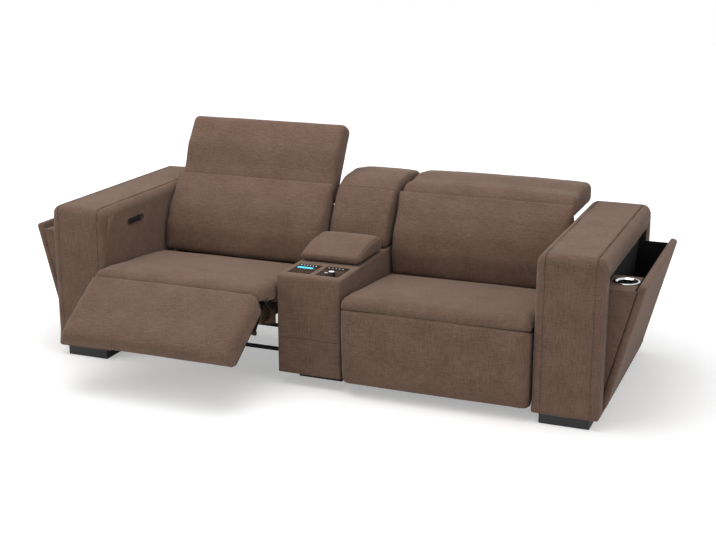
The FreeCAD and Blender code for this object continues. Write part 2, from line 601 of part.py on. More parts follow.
def open_pose(kind, s):
    """The left-hand seat: footrest out, back leaning, headrest up."""
    if kind == "leg":
        s = turned(s, ROLL_Y, ROLL_Z, LEG_OUT)
    if kind == "tube":
        s = turned(s, TUBE_Y, TUBE_Z, LEG_OUT)
    if kind == "link":
        a = math.radians(LEG_OUT)
        dy = ARM_DY * math.cos(a) + ARM_DZ * math.sin(a) - ARM_DY
        dz = -ARM_DY * math.sin(a) + ARM_DZ * math.cos(a) - ARM_DZ
        s = moved(s, dy, dz)
    if kind == "nut":
        s = moved(s, -2 * 80 * math.sin(math.radians(45)) * LEG_OUT / 90.0, 0)
    if kind == "head":
        s = turned(s, HEAD_Y, HEAD_Z, -HEAD_UP)
    if kind in ("back", "head"):
        s = turned(s, RECLINE_Y, RECLINE_Z, LEAN)
    return moved(s, GLIDE_Y * 1.0, GLIDE_Z * 1.0)


build_seat("right", closed_pose)
build_seat("left", open_pose)

# origin under the middle of the bounding box
lows = [1e9, 1e9, 1e9]
highs = [-1e9, -1e9, -1e9]
for group in parts.values():
    for solid in group:
        for p in solid.copy().tessellate(0.05)[0]:
            for i in range(3):
                lows[i] = min(lows[i], p[i])
                highs[i] = max(highs[i], p[i])
shift = V(-(lows[0] + highs[0]) / 2, -(lows[1] + highs[1]) / 2, -lows[2])
print("shift", shift, "size", highs[0] - lows[0], highs[1] - lows[1], highs[2] - lows[2])
for name in sorted(parts):
    group = parts[name]
    for s in group:
        s.translate(shift)
    whole = group[0] if len(group) == 1 else Part.Compound(group)
    if not whole.isValid():
        print("not valid", name)
    print(name, len(group), round(whole.Volume / 1e3, 1))
    whole.exportStep("parts/" + name + ".step")
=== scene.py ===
# %% [markdown]
# A two-seat motion sofa with a fixed centre console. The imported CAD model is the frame: it carries
# the steel, wood and plastic pieces. Every upholstered piece is made again here as a soft surface,
# because a plain solid can't show how cloth is pulled over foam.

# %% Load the frame
import bpy
import math
import numpy as np
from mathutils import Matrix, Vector
from mathutils.bvhtree import BVHTree


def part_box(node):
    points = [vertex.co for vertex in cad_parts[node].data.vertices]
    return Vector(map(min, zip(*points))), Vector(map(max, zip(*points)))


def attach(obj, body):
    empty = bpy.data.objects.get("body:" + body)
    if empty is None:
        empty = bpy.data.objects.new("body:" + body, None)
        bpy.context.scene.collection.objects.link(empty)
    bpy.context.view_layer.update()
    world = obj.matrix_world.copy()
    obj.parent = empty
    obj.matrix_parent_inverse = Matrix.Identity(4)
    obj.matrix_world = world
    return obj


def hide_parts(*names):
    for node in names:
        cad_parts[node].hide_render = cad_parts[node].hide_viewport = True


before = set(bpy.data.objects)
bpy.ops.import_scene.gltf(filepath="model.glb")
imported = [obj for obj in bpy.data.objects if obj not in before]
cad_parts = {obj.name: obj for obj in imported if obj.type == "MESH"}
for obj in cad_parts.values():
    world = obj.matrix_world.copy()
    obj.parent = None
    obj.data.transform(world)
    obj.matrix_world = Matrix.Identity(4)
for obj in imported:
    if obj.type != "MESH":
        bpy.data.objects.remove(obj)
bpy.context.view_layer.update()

# %% [markdown]
# The drawing measures from the front of the arms in millimetres, with x = 0 in the middle of the
# console and z = 0 on the floor. The frame is in metres and may start elsewhere along Y, so the one
# offset between them is read from the arm's own solid.

# %% Drawing to metres
FRONT_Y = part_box("left_arm_cover")[0][1] * 1000.0
ARM_IN = 917.0
ARM_OUT = 1175.0
SEAT_IN = 141.0
SEAT_OUT = 914.0
CLOTH_IN = SEAT_IN + 2.0
CLOTH_OUT = SEAT_OUT - 2.0
CONSOLE = 137.0


def metres(points):
    """Drawing millimetres (n, 3) to frame metres."""
    out = np.array(points, float)
    out[..., 1] += FRONT_Y
    return out / 1000.0


print("front of the arms at y", round(FRONT_Y, 2), "mm")

# %% [markdown]
# The camera stands to the right of the sofa and looks a little down. Its place, direction and lens
# come from the straight edges of the photograph, solved once and written here as numbers.

# %% Camera
FOCAL_PIXELS = 1265.207
PICTURE_WIDE = 716.0
SENSOR = 36.0
camera_data = bpy.data.cameras.new("camera")
camera_data.sensor_width = SENSOR
camera_data.lens = FOCAL_PIXELS / PICTURE_WIDE * SENSOR
camera_data.clip_end = 60.0
camera = bpy.data.objects.new("camera", camera_data)
bpy.context.scene.collection.objects.link(camera)
camera.location = metres([1964.2, -4346.5, 1851.1])
camera.rotation_euler = (math.radians(90 - 15.808), 0.0, math.radians(21.839))
bpy.context.scene.camera = camera
print("camera lens", round(camera_data.lens, 2), "mm")

# %% [markdown]
# A plain world and three large soft lamps light the sofa as in a white studio. The strongest lamp
# hangs over it, a weaker one stands on the left in front and the weakest on the right. The camera
# and mirroring metal see the world as plain white, whatever light it gives.

# %% World and lamps
WORLD_LIGHT = 0.44
scene = bpy.context.scene
scene.view_settings.view_transform = "Standard"
world = bpy.data.worlds.new("studio")
scene.world = world
world.use_nodes = True
back = world.node_tree.nodes["Background"]
paths = world.node_tree.nodes.new("ShaderNodeLightPath")
seen = world.node_tree.nodes.new("ShaderNodeMath")
seen.operation = "MAXIMUM"
world.node_tree.links.new(paths.outputs["Is Camera Ray"], seen.inputs[0])
world.node_tree.links.new(paths.outputs["Is Glossy Ray"], seen.inputs[1])
power = world.node_tree.nodes.new("ShaderNodeMapRange")
power.inputs["To Min"].default_value = WORLD_LIGHT
power.inputs["To Max"].default_value = 1.0
world.node_tree.links.new(seen.outputs[0], power.inputs["Value"])
world.node_tree.links.new(power.outputs["Result"], back.inputs["Strength"])
back.inputs["Color"].default_value = (1.0, 1.0, 1.0, 1.0)


def soft_lamp(name, place, target, size, watts):
    """Square area lamp at place that looks at target, both in metres."""
    data = bpy.data.lights.new(name, "AREA")
    data.size = size
    data.energy = watts
    lamp = bpy.data.objects.new(name, data)
    scene.collection.objects.link(lamp)
    lamp.location = place
    lamp.rotation_euler = (Vector(target) - Vector(place)).to_track_quat("-Z", "Y").to_euler()


soft_lamp("top_lamp", (-0.4, -0.4, 3.6), (0.0, 0.1, 0.3), 3.4, 84.0)
soft_lamp("left_lamp", (-3.4, -3.0, 2.4), (0.0, 0.0, 0.4), 2.2, 32.0)
soft_lamp("right_lamp", (3.8, -1.2, 1.8), (0.6, 0.0, 0.4), 2.0, 20.0)
print("lamps", len(bpy.data.lights))

# %% [markdown]
# A studio floor is a sheet of white paper that fades into the background. Here it glows a little
# for the camera alone, more with the distance from the sofa, so it ends in plain white without
# any more light on the sofa, and it still carries the shadow.

# %% Floor


def pale_floor():
    """Flat square 28 m wide, just under z = 0. Its glow g runs with the distance d in metres:
    g = 0.36 + 0.34 * (d - 1.3) / (3.2 - 1.3), held between 0.36 and 0.70."""
    mesh = bpy.data.meshes.new("floor")
    half = 14.0
    corners = [(-half, -half, 0), (half, -half, 0), (half, half, 0), (-half, half, 0)]
    mesh.from_pydata(corners, [], [(0, 1, 2, 3)])
    floor = bpy.data.objects.new("floor", mesh)
    scene.collection.objects.link(floor)
    floor.location.z = -0.0004
    mat = bpy.data.materials.new("pale_floor")
    mat.use_nodes = True
    tree = mat.node_tree
    shader = tree.nodes["Principled BSDF"]
    shader.inputs["Base Color"].default_value = (0.86, 0.86, 0.86, 1.0)
    shader.inputs["Roughness"].default_value = 0.7
    shader.inputs["Specular IOR Level"].default_value = 0.1
    shader.inputs["Emission Color"].default_value = (1.0, 1.0, 1.0, 1.0)
    rays = tree.nodes.new("ShaderNodeLightPath")
    spot = tree.nodes.new("ShaderNodeTexCoord")
    away = tree.nodes.new("ShaderNodeVectorMath")
    away.operation = "LENGTH"
    tree.links.new(spot.outputs["Object"], away.inputs[0])
    reach = tree.nodes.new("ShaderNodeMapRange")
    reach.inputs["From Min"].default_value = 1.3
    reach.inputs["From Max"].default_value = 3.2
    reach.inputs["To Min"].default_value = 0.36
    reach.inputs["To Max"].default_value = 0.70
    tree.links.new(away.outputs["Value"], reach.inputs["Value"])
    lift = tree.nodes.new("ShaderNodeMath")
    lift.operation = "MULTIPLY"
    tree.links.new(reach.outputs[0], lift.inputs[1])
    tree.links.new(rays.outputs["Is Camera Ray"], lift.inputs[0])
    tree.links.new(lift.outputs[0], shader.inputs["Emission Strength"])
    mesh.materials.append(mat)


pale_floor()
print("floor ready")

# %% [markdown]
# Two effects serve several finishes, so each is a node group, and these functions make the nodes
# that both use. A group's sockets have names, so a finish reads like a recipe.

# %% Node tools


def new_group(name, inputs, outputs):
    """Shader group with named sockets; inputs and outputs are (name, kind, default) rows."""
    group = bpy.data.node_groups.new(name, "ShaderNodeTree")
    for label, kind, value in inputs:
        socket = group.interface.new_socket(name=label, in_out="INPUT", socket_type=kind)
        if value is not None:
            socket.default_value = value
    for label, kind in outputs:
        group.interface.new_socket(name=label, in_out="OUTPUT", socket_type=kind)
    start = group.nodes.new("NodeGroupInput")
    end = group.nodes.new("NodeGroupOutput")
    return group, start, end


def add_math(tree, kind, a, b=None):
    """Math node; a and b are sockets or numbers."""
    node = tree.nodes.new("ShaderNodeMath")
    node.operation = kind
    for i, v in enumerate((a, b)):
        if v is None:
            continue
        if isinstance(v, (int, float)):
            node.inputs[i].default_value = v
        else:
            tree.links.new(v, node.inputs[i])
    return node.outputs[0]


def streaks(tree, vector, scale, size, detail=3.0):
    """Noise stretched by a Mapping node: scale is a 3-vector, size the noise scale."""
    place = tree.nodes.new("ShaderNodeMapping")
    place.inputs["Scale"].default_value = scale
    tree.links.new(vector, place.inputs["Vector"])
    noise = tree.nodes.new("ShaderNodeTexNoise")
    noise.inputs["Scale"].default_value = size
    noise.inputs["Detail"].default_value = detail
    tree.links.new(place.outputs[0], noise.inputs["Vector"])
    return noise.outputs["Fac"]


# %% [markdown]
# The cloth of this sofa is a plain weave of brown yarns that differ a little: fine streaks along
# the thread directions over a slow cloudy change where the nap lies differently. Small cells give
# the height of the single threads.

# %% Yarn weave
weave, w_in, w_out = new_group(
    "yarn_weave",
    [("Vector", "NodeSocketVector", None), ("Thread", "NodeSocketFloat", 1.0)],
    [("Tone", "NodeSocketFloat"), ("Height", "NodeSocketFloat"), ("Cloud", "NodeSocketFloat")])
scaled = weave.nodes.new("ShaderNodeVectorMath")
scaled.operation = "SCALE"
weave.links.new(w_in.outputs["Vector"], scaled.inputs[0])
weave.links.new(w_in.outputs["Thread"], scaled.inputs["Scale"])
thread_place = scaled.outputs[0]
along_x = streaks(weave, thread_place, (0.07, 1.0, 1.0), 420.0)
along_z = streaks(weave, thread_place, (1.0, 0.6, 0.07), 420.0)
along_y = streaks(weave, thread_place, (1.0, 0.07, 1.0), 420.0)
sum_a = add_math(weave, "ADD", along_x, along_z)
sum_b = add_math(weave, "ADD", sum_a, along_y)
tone = add_math(weave, "MULTIPLY", sum_b, 1.0 / 3.0)
cells = weave.nodes.new("ShaderNodeTexVoronoi")
cells.inputs["Scale"].default_value = 640.0
weave.links.new(thread_place, cells.inputs["Vector"])
nub = add_math(weave, "MULTIPLY", cells.outputs["Distance"], 0.55)
height = add_math(weave, "SUBTRACT", tone, nub)
cloud = streaks(weave, thread_place, (1.0, 1.0, 1.0), 9.0, 4.0)
weave.links.new(tone, w_out.inputs["Tone"])
weave.links.new(height, w_out.inputs["Height"])
weave.links.new(cloud, w_out.inputs["Cloud"])
print("weave nodes", len(weave.nodes))

# %% [markdown]
# Handled metal and plastic are never quite even: fine specks differ a little in tone and polish.
# The group gives one mask, which a finish spreads over its colour and its roughness.

# %% Fine wear
wear, e_in, e_out = new_group(
    "fine_wear",
    [("Vector", "NodeSocketVector", None), ("Size", "NodeSocketFloat", 60.0)],
    [("Mask", "NodeSocketFloat")])
speck = wear.nodes.new("ShaderNodeTexNoise")
speck.inputs["Detail"].default_value = 6.0
wear.links.new(e_in.outputs["Vector"], speck.inputs["Vector"])
wear.links.new(e_in.outputs["Size"], speck.inputs["Scale"])
spread = wear.nodes.new("ShaderNodeMapRange")
spread.inputs["From Min"].default_value = 0.35
spread.inputs["From Max"].default_value = 0.7
wear.links.new(speck.outputs["Fac"], spread.inputs["Value"])
wear.links.new(spread.outputs[0], e_out.inputs["Mask"])
print("wear nodes", len(wear.nodes))

# %% [markdown]
# A finish mixes a darker and a lighter tone by a value that varies over the surface. Numbers that
# stay the same over a surface are set on the shader's own sockets.

# %% Tones


def srgb(r, g, b):
    """Screen colour 0..255 to linear values."""
    c = np.array([r, g, b]) / 255.0
    lin = np.where(c <= 0.04045, c / 12.92, ((c + 0.055) / 1.055) ** 2.4)
    return (float(lin[0]), float(lin[1]), float(lin[2]), 1.0)


def start_finish(name):
    """Material with its shader and an Object coordinate node."""
    mat = bpy.data.materials.new(name)
    mat.use_nodes = True
    tree = mat.node_tree
    coords = tree.nodes.new("ShaderNodeTexCoord")
    return mat, tree, tree.nodes["Principled BSDF"], coords.outputs["Object"]


def blend_colours(tree, factor, dark, light, low=0.0, high=1.0):
    """Colour that runs from dark to light as factor runs from low to high."""
    ramp = tree.nodes.new("ShaderNodeMapRange")
    ramp.inputs["From Min"].default_value = low
    ramp.inputs["From Max"].default_value = high
    tree.links.new(factor, ramp.inputs["Value"])
    mix = tree.nodes.new("ShaderNodeMix")
    mix.data_type = "RGBA"
    mix.inputs["A"].default_value = dark
    mix.inputs["B"].default_value = light
    tree.links.new(ramp.outputs[0], mix.inputs["Factor"])
    return mix.outputs["Result"]


# %% [markdown]
# Upholstery cloth is dull and a little furry. The sheen gives the pale rim that such cloth has
# where it turns away, and the bump gives the threads.

# %% Cloth


def woven_cloth(name, dark, light, sheen, thread=1.0, bump=0.35):
    """Upholstery cloth: yarn tones between dark and light, clouded by the nap, with a weave bump."""
    mat, tree, shader, coords = start_finish(name)
    group = tree.nodes.new("ShaderNodeGroup")
    group.node_tree = weave
    group.inputs["Thread"].default_value = thread
    tree.links.new(coords, group.inputs["Vector"])
    yarn = blend_colours(tree, group.outputs["Tone"], dark, light, 0.36, 0.64)
    darker = (0.90, 0.89, 0.88, 1)
    lighter = (1.08, 1.08, 1.08, 1)
    nap = blend_colours(tree, group.outputs["Cloud"], darker, lighter, 0.3, 0.7)
    both = tree.nodes.new("ShaderNodeMix")
    both.data_type = "RGBA"
    both.blend_type = "MULTIPLY"
    both.inputs["Factor"].default_value = 1.0
    tree.links.new(yarn, both.inputs["A"])
    tree.links.new(nap, both.inputs["B"])
    tree.links.new(both.outputs["Result"], shader.inputs["Base Color"])
    relief = tree.nodes.new("ShaderNodeBump")
    relief.inputs["Strength"].default_value = bump
    relief.inputs["Distance"].default_value = 0.0012
    tree.links.new(group.outputs["Height"], relief.inputs["Height"])
    tree.links.new(relief.outputs["Normal"], shader.inputs["Normal"])
    shader.inputs["Roughness"].default_value = 0.92
    shader.inputs["Specular IOR Level"].default_value = 0.18
    shader.inputs["Sheen Weight"].default_value = sheen
    shader.inputs["Sheen Roughness"].default_value = 0.45
    shader.inputs["Sheen Tint"].default_value = (0.95, 0.86, 0.78, 1.0)
    return mat


# %% [markdown]
# Chrome, zinc-plated steel, powder coat and moulded plastic differ only in tone, metal and
# polish, so one function makes them all.

# %% Metal and plastic


def worn_hard(name, dark, light, metallic, rough, size=60.0, bump=0.05, coat=0.0):
    """Metal or plastic: two close tones and a roughness that varies with fine wear."""
    mat, tree, shader, coords = start_finish(name)
    group = tree.nodes.new("ShaderNodeGroup")
    group.node_tree = wear
    group.inputs["Size"].default_value = size
    tree.links.new(coords, group.inputs["Vector"])
    colour = blend_colours(tree, group.outputs["Mask"], dark, light)
    tree.links.new(colour, shader.inputs["Base Color"])
    spread = tree.nodes.new("ShaderNodeMapRange")
    spread.inputs["To Min"].default_value = rough * 0.85
    spread.inputs["To Max"].default_value = min(1.0, rough * 1.2)
    tree.links.new(group.outputs["Mask"], spread.inputs["Value"])
    tree.links.new(spread.outputs[0], shader.inputs["Roughness"])
    relief = tree.nodes.new("ShaderNodeBump")
    relief.inputs["Strength"].default_value = bump
    relief.inputs["Distance"].default_value = 0.0006
    tree.links.new(group.outputs["Mask"], relief.inputs["Height"])
    tree.links.new(relief.outputs["Normal"], shader.inputs["Normal"])
    shader.inputs["Metallic"].default_value = metallic
    shader.inputs["Coat Weight"].default_value = coat
    return mat


# %% [markdown]
# The frames inside are stained plywood, whose grain runs along the boards, and the glass panels
# carry small lit marks.

# %% Plywood and lit marks


def plywood(name):
    """Stained plywood: long grain streaks along X over a dark brown."""
    mat, tree, shader, coords = start_finish(name)
    grain = streaks(tree, coords, (0.06, 1.0, 1.0), 90.0, 5.0)
    colour = blend_colours(tree, grain, srgb(74, 56, 40), srgb(116, 91, 64), 0.3, 0.7)
    tree.links.new(colour, shader.inputs["Base Color"])
    relief = tree.nodes.new("ShaderNodeBump")
    relief.inputs["Strength"].default_value = 0.15
    relief.inputs["Distance"].default_value = 0.0008
    tree.links.new(grain, relief.inputs["Height"])
    tree.links.new(relief.outputs["Normal"], shader.inputs["Normal"])
    shader.inputs["Roughness"].default_value = 0.65
    return mat


def lit_mark(name, colour, strength):
    """Small glowing mark with a faint cloud in its brightness."""
    mat, tree, shader, coords = start_finish(name)
    cloud = streaks(tree, coords, (1.0, 1.0, 1.0), 160.0, 2.0)
    dimmer = tuple(c * 0.8 for c in colour[:3]) + (1.0,)
    tint = blend_colours(tree, cloud, dimmer, colour, 0.3, 0.7)
    tree.links.new(tint, shader.inputs["Emission Color"])
    tree.links.new(tint, shader.inputs["Base Color"])
    shader.inputs["Emission Strength"].default_value = strength
    return mat


# %% [markdown]
# The whole sofa is covered with one brown cloth. The seams show a darker tone of it as painted
# shade of their grooves, the thread is close to the cloth, and the bins are lined with black cloth.

# %% Finishes of this sofa
COVER = woven_cloth("cover_cloth", srgb(92, 71, 59), srgb(128, 104, 90), 0.16)
# Painted shade: the seams' darker cloth stands in for the shade in their grooves.
SEAM_PAINTED_SHADE = woven_cloth("seam_shadow_cloth", srgb(66, 50, 41), srgb(84, 66, 56), 0.08)
THREAD = woven_cloth("sewing_thread", srgb(84, 65, 54), srgb(106, 84, 71), 0.12, 2.0, 0.2)
LINING = woven_cloth("bin_lining_cloth", srgb(22, 22, 24), srgb(36, 36, 39), 0.04, 1.4, 0.2)
CHROME = worn_hard("chrome_trim", srgb(196, 198, 201), srgb(228, 230, 233), 1.0, 0.12, 30.0, 0.02)
ZINC = worn_hard("zinc_steel", srgb(140, 143, 146), srgb(180, 183, 186), 1.0, 0.34, 90.0, 0.08)
SPRING = worn_hard("spring_steel", srgb(110, 113, 116), srgb(150, 152, 155), 1.0, 0.3, 90.0, 0.05)
BLACK_STEEL = worn_hard("black_powder_coat", srgb(24, 25, 27), srgb(38, 39, 42), 0.2, 0.5, 400.0, 0.2)
BLACK_PLASTIC = worn_hard("black_moulding", srgb(14, 14, 16), srgb(26, 26, 29), 0.0, 0.45, 500.0, 0.12)
FOOT = worn_hard("charcoal_foot", srgb(38, 37, 40), srgb(54, 52, 54), 0.0, 0.5, 300.0, 0.12, 0.1)
GLASS = worn_hard("panel_glass", srgb(6, 7, 9), srgb(12, 13, 16), 0.0, 0.07, 20.0, 0.0, 1.0)
WOOD = plywood("stained_plywood")
BLUE_LIGHT = lit_mark("blue_bar_light", srgb(70, 190, 245), 1.3)
WHITE_MARK = lit_mark("white_mark", srgb(225, 230, 235), 0.5)
print("finishes", len(bpy.data.materials))

# %% [markdown]
# Foam is cut from a block along an outline in the side view. Here that outline is a polygon whose
# corners are rounded by arcs, so a few points and radii say the whole shape.

# %% Outlines


def rounded_outline(corners, radii, step):
    """Closed outline with a point every step mm; each corner is an arc that touches both its sides.
    With half the corner's angle h and radius r, the arc starts r / tan(h) from the corner and its
    centre lies r / sin(h) from it."""
    pts = []
    n = len(corners)
    for i in range(n):
        p = np.array(corners[i], float)
        a = np.array(corners[i - 1], float) - p
        b = np.array(corners[(i + 1) % n], float) - p
        a /= np.linalg.norm(a)
        b /= np.linalg.norm(b)
        r = radii[i]
        half = math.acos(np.clip(a @ b, -1, 1)) / 2
        if r <= 0 or half > math.pi / 2 - 1e-3:
            pts.append(p[None])
            continue
        t = r / math.tan(half)
        first = p + a * t
        centre = p + (a + b) / np.linalg.norm(a + b) * r / math.sin(half)
        d0 = first - centre
        d1 = p + b * t - centre
        turn = math.atan2(d0[0] * d1[1] - d0[1] * d1[0], d0 @ d1)
        k = np.linspace(0, turn, max(3, int(abs(turn) * r / step) + 2))
        arc = np.stack([d0[0] * np.cos(k) - d0[1] * np.sin(k), d0[0] * np.sin(k) + d0[1] * np.cos(k)], 1)
        pts.append(centre + arc)
    pts = np.concatenate(pts)
    loop = np.vstack([pts, pts[:1]])
    run = np.concatenate([[0], np.cumsum(np.linalg.norm(np.diff(loop, axis=0), axis=1))])
    count = int(run[-1] / step)
    at = np.linspace(0, run[-1], count, endpoint=False)
    out = np.stack([np.interp(at, run, loop[:, 0]), np.interp(at, run, loop[:, 1])], 1)
    area = 0.5 * np.sum(out[:, 0] * np.roll(out[:, 1], -1) - np.roll(out[:, 0], -1) * out[:, 1])
    return out if area > 0 else out[::-1]


def outward(ring):
    """Unit normals of a closed counter-clockwise outline: the tangent turned by minus 90 degrees."""
    d = np.roll(ring, -1, 0) - np.roll(ring, 1, 0)
    d /= np.linalg.norm(d, axis=1)[:, None]
    return np.stack([d[:, 1], -d[:, 0]], 1)


# %% [markdown]
# An upholstered piece is a loaf: its outline is carried along X, and near both ends it draws in
# along a quarter circle, as cloth does over a foam edge. Its face also rises a little towards the
# middle, where the filling pushes hardest.

# %% Loaf surface


def loaf_points(ring, x0, x1, edge, crown, step, marks=(), keep=()):
    """Grid (stations, ring, 3). At a station e from the end of radius r the outline sits inside its
    full size by r - sqrt(r^2 - (r - e)^2); crown lifts it by crown * (1 - (2u - 1)^2)^0.8, where u
    runs from 0 to 1 along X. More stations lie at marks. The sides named in keep ("up", "down",
    "rear") don't draw in, so that a joint there stays closed."""
    edge = np.broadcast_to(np.asarray(edge, float), (len(ring),))
    crown = np.broadcast_to(np.asarray(crown, float), (len(ring),))
    normal = outward(ring)
    draw = normal.copy()
    if "up" in keep:
        draw[:, 1] = np.minimum(draw[:, 1], 0)
    if "down" in keep:
        draw[:, 1] = np.maximum(draw[:, 1], 0)
    if "rear" in keep:
        draw[:, 0] = np.minimum(draw[:, 0], 0)
    phi = np.linspace(0, math.pi / 2, 7)[:, None]
    left_x = x0 + edge * (1 - np.cos(phi))
    left_in = edge * (1 - np.sin(phi))
    count = max(3, int((x1 - x0 - 2 * edge.max()) / step))
    t = np.linspace(0, 1, count + 1)[1:-1]
    lo = x0 + edge
    hi = x1 - edge
    mid_x = lo[None] + t[:, None] * (hi - lo)[None]
    if marks:
        extra = [np.full(len(ring), float(m)) for m in marks]
        mid_x = np.sort(np.vstack([mid_x] + extra), axis=0)
    right_x = x1 - edge * (1 - np.cos(phi[::-1]))
    xs = np.vstack([left_x, mid_x, right_x])
    inset = np.vstack([left_in, np.zeros_like(mid_x), left_in[::-1]])
    u = (xs - x0) / (x1 - x0)
    lift = crown[None] * np.clip(1 - (2 * u - 1) ** 2, 0, 1) ** 0.8
    yz = ring[None] + normal[None] * lift[..., None] - draw[None] * inset[..., None]
    return np.concatenate([xs[..., None], yz], -1)


def mesh_from_loaf(name, grid):
    """Mesh of the grid, closed around the ring, with one flat face at each end."""
    rows, cols, _ = grid.shape
    r, c = np.meshgrid(np.arange(rows - 1), np.arange(cols), indexing="ij")
    d = (c + 1) % cols
    quads = np.stack([r * cols + c, r * cols + d, (r + 1) * cols + d, (r + 1) * cols + c], -1)
    faces = [tuple(q) for q in quads.reshape(-1, 4)[:, ::-1].tolist()]
    faces.append(tuple(range(cols)))
    faces.append(tuple(range(rows * cols - 1, (rows - 1) * cols - 1, -1)))
    mesh = bpy.data.meshes.new(name)
    mesh.from_pydata(metres(grid.reshape(-1, 3)).tolist(), [], faces)
    mesh.update()
    thing = bpy.data.objects.new(name, mesh)
    scene.collection.objects.link(thing)
    return thing


# %% [markdown]
# These small tools read and write the points of a mesh, keep what its modifiers make, and see to
# it that its faces look outwards.

# %% Mesh tools


def face_out(thing):
    """Flips every face if the signed volume, the sum of a . (b x c) / 6 over all triangles, is
    negative."""
    mesh = thing.data
    mesh.calc_loop_triangles()
    co = np.empty(len(mesh.vertices) * 3)
    mesh.vertices.foreach_get("co", co)
    co = co.reshape(-1, 3)
    tri = np.empty(len(mesh.loop_triangles) * 3, np.int32)
    mesh.loop_triangles.foreach_get("vertices", tri)
    a, b, c = co[tri.reshape(-1, 3)].transpose(1, 0, 2)
    volume = np.einsum("ij,ij->i", a, np.cross(b, c)).sum() / 6
    if volume < 0:
        mesh.flip_normals()


def bake(thing):
    """Applies the modifiers by reading back the evaluated mesh."""
    graph = bpy.context.evaluated_depsgraph_get()
    graph.update()
    solid = bpy.data.meshes.new_from_object(thing.evaluated_get(graph))
    old = thing.data
    thing.modifiers.clear()
    thing.data = solid
    solid.name = thing.name
    bpy.data.meshes.remove(old)


def smooth(thing):
    """Smooth shading on all faces."""
    thing.data.polygons.foreach_set("use_smooth", [True] * len(thing.data.polygons))
    thing.data.update()


def read_points(thing):
    """Vertex positions as an (n, 3) array in metres."""
    co = np.empty(len(thing.data.vertices) * 3)
    thing.data.vertices.foreach_get("co", co)
    return co.reshape(-1, 3)


def write_points(thing, co):
    """Puts positions back into the mesh."""
    thing.data.vertices.foreach_set("co", np.asarray(co, float).reshape(-1))
    thing.data.update()


# %% [markdown]
# A cushion is a sewn cover that its filling stretches. The cover is given even quads, then it is
# blown up as cloth with a pressure inside, and every point may move only a few millimetres.

# %% Filled covers
FRAMES = 20


def remesh(thing, voxel):
    """Even quads of about voxel metres, so that cloth can move everywhere alike."""
    mod = thing.modifiers.new("voxels", "REMESH")
    mod.mode = "VOXEL"
    mod.voxel_size = voxel
    bake(thing)
    face_out(thing)


def stuff(thing, pressure, most, stiffness=15.0):
    """Blows the piece up like a filled cover: cloth with inner pressure and no gravity. A move m is
    kept as m * min(1, most / |m|), in metres."""
    start = read_points(thing)
    mod = thing.modifiers.new("filling", "CLOTH")
    cloth = mod.settings
    cloth.quality = 4
    cloth.use_pressure = True
    cloth.uniform_pressure_force = pressure
    cloth.tension_stiffness = stiffness
    cloth.compression_stiffness = stiffness
    cloth.effector_weights.gravity = 0.0
    mod.point_cache.frame_start = 1
    mod.point_cache.frame_end = FRAMES
    for f in range(1, FRAMES + 1):
        scene.frame_set(f)
    graph = bpy.context.evaluated_depsgraph_get()
    done = thing.evaluated_get(graph)
    co = np.empty(len(done.data.vertices) * 3)
    done.data.vertices.foreach_get("co", co)
    move = co.reshape(-1, 3) - start
    size = np.linalg.norm(move, axis=1)
    keep = np.minimum(1.0, most / np.maximum(size, 1e-9))
    thing.modifiers.clear()
    scene.frame_set(1)
    write_points(thing, start + move * keep[:, None])
    print(thing.name, "moved", round(float(size.max()) * 1000, 1), "mm, kept", most * 1000)


# %% [markdown]
# Cloth over foam is never quite flat. A slow noise, worked out as a sum of a few sine waves with
# fixed directions, moves every point along its normal by a millimetre or so.

# %% Gentle unevenness


def ripple(thing, size, seed, waves=(9.0, 17.0, 31.0)):
    """Moves each point p along its normal by size / 3.4 times a sum of sin(1.6 p . k + phase), three
    for each wave number |k|, weaker for the finer waves."""
    rng = np.random.default_rng(seed)
    co = read_points(thing)
    normal = np.empty(len(co) * 3)
    thing.data.vertices.foreach_get("normal", normal)
    normal = normal.reshape(-1, 3)
    total = np.zeros(len(co))
    for w in waves:
        for _ in range(3):
            k = rng.normal(size=3)
            k *= w / np.linalg.norm(k)
            total += np.sin(co @ k * 1.6 + rng.uniform(0, 6.28)) * (waves[0] / w) ** 0.7
    total /= 3.4
    write_points(thing, co + normal * (size * total)[:, None])


# %% [markdown]
# The seats are made once, closed, for the right-hand side. The left seat is the mirror image, moved
# into the half-open pose of the photograph by the same turns as the mechanism makes.

# %% Poses of the seats
ROLL = (8.0, 380.0)
RECLINE = (640.0, 330.0)
HEAD = (740.0, 660.0)
LEG_OUT = math.radians(58.0)
LEAN = math.radians(9.0)
HEAD_UP = math.radians(70.0)
GLIDE = (-100.0, 25.0)


def turn_about(co, pivot, angle):
    """Turns drawing points about an X axis: up goes back, and what hangs down goes forward."""
    y = co[:, 1] - pivot[0]
    z = co[:, 2] - pivot[1]
    out = co.copy()
    out[:, 1] = pivot[0] + y * math.cos(angle) + z * math.sin(angle)
    out[:, 2] = pivot[1] - y * math.sin(angle) + z * math.cos(angle)
    return out


def left_pose(co, kind):
    """Drawing points of a right-hand piece to its place on the left."""
    out = co.copy()
    if kind == "leg":
        out = turn_about(out, ROLL, LEG_OUT)
    if kind == "head":
        out = turn_about(out, HEAD, -HEAD_UP)
    if kind in ("back", "head"):
        out = turn_about(out, RECLINE, LEAN)
    out[:, 1] += GLIDE[0]
    out[:, 2] += GLIDE[1]
    out[:, 0] *= -1.0
    return out


def drawing_points(thing):
    """Vertex positions in drawing millimetres."""
    co = read_points(thing) * 1000.0
    co[:, 1] -= FRONT_Y
    return co


def mirrored_copy(thing, name, kind):
    """Left-hand twin of a right-hand piece: a mirror image, and posed if it names its kind."""
    mesh = thing.data.copy()
    mesh.name = name
    twin = bpy.data.objects.new(name, mesh)
    scene.collection.objects.link(twin)
    co = drawing_points(twin)
    co = left_pose(co, kind) if kind else co * np.array([-1.0, 1.0, 1.0])
    write_points(twin, metres(co))
    face_out(twin)
    return twin


